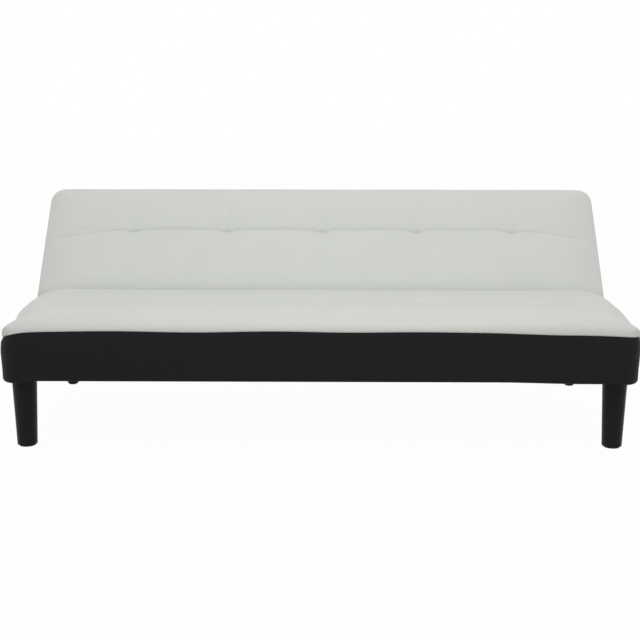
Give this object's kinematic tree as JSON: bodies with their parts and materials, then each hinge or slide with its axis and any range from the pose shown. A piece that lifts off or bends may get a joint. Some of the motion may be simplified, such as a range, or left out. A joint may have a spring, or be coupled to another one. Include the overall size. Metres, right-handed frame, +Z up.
{
  "type": "click clack sofa bed",
  "caption": "Armless sofa bed with a tufted seat on legs and a tufted backrest that folds forward to release and back to flat on ratchet hinges.",
  "frame": {"origin": "on the floor under the middle of the sofa's box, with the backrest in the sofa position", "axes": "+X along the sofa to the right of a viewer in front of it, -Y to the front, +Z up"},
  "size_m": [1.8, 0.8364, 0.6698],
  "materials": {
    "white_leather": "pale white faux leather, fine grain, low sheen",
    "black_leather": "matt black faux leather",
    "black_cloth": "thin black non-woven cloth",
    "foam": "open-cell polyurethane foam",
    "felt": "pressed grey felt",
    "webbing": "woven elastic webbing",
    "pine": "sawn pine, unfinished",
    "spring_steel": "drawn spring wire",
    "black_leg": "black satin lacquer",
    "glide": "hard plastic glide",
    "black_steel": "black powder coat",
    "hinge_steel": "stamped zinc-plated steel",
    "zinc_steel": "bright zinc plating"
  },
  "bodies": {
    "seat": {"front_leg_bolts": "zinc_steel", "front_leg_left": "black_leg", "front_leg_plates": "zinc_steel", "front_leg_right": "black_leg", "hinge_pivot_pins": "zinc_steel", "hinge_seat_plate_left": "hinge_steel", "hinge_seat_plate_right": "hinge_steel", "leg_glides": "glide", "leg_nuts": "zinc_steel", "pawl_pins": "zinc_steel", "pawl_spring_left": "spring_steel", "pawl_spring_right": "spring_steel", "rear_leg_arm_left": "black_steel", "rear_leg_arm_right": "black_steel", "rear_leg_bolts": "zinc_steel", "rear_leg_left": "black_leg", "rear_leg_right": "black_leg", "seat_bracket_bolts": "zinc_steel", "seat_bracket_nuts": "zinc_steel", "seat_bracket_washers": "zinc_steel", "seat_corner_blocks": "pine", "seat_cross_rails": "pine", "seat_dust_cover": "black_cloth", "seat_end_rails": "pine", "seat_felt": "felt", "seat_foam": "foam", "seat_front_rail": "pine", "seat_rear_rail": "pine", "seat_side_band": "black_leather", "seat_spring_clips": "zinc_steel", "seat_springs": "spring_steel", "seat_top_cover": "white_leather"},
    "backrest": {"back_bottom_rail": "pine", "back_bracket_bolts": "zinc_steel", "back_bracket_nuts": "zinc_steel", "back_bracket_washers": "zinc_steel", "back_cross_rails": "pine", "back_end_rails": "pine", "back_foam": "foam", "back_front_cover": "white_leather", "back_rear_cloth": "black_cloth", "back_side_band": "black_leather", "back_straps": "webbing", "back_top_rail": "pine", "hinge_back_plate_left": "hinge_steel", "hinge_back_plate_right": "hinge_steel"},
    "pawl_left": {"hinge_pawl_left": "hinge_steel"},
    "pawl_right": {"hinge_pawl_right": "hinge_steel"}
  },
  "joints": [
    {"name": "backrest_fold", "type": "hinge", "parent": "seat", "child": "backrest", "pos_m": [0, 0.0918, 0.33], "axis": [-1, 0, 0], "range_deg": [-20, 48]},
    {"name": "pawl_left_catch", "type": "hinge", "parent": "seat", "child": "pawl_left", "pos_m": [-0.8665, 0.04067, 0.30062], "axis": [1, 0, 0], "range_deg": [0, 10], "stiffness_Nm_per_rad": 0.6, "springref_deg": 21.77, "deforming": ["pawl_spring_left"]},
    {"name": "pawl_right_catch", "type": "hinge", "parent": "seat", "child": "pawl_right", "pos_m": [0.8665, 0.04067, 0.30062], "axis": [1, 0, 0], "range_deg": [0, 10], "stiffness_Nm_per_rad": 0.6, "springref_deg": 21.77, "deforming": ["pawl_spring_right"]}
  ]
}
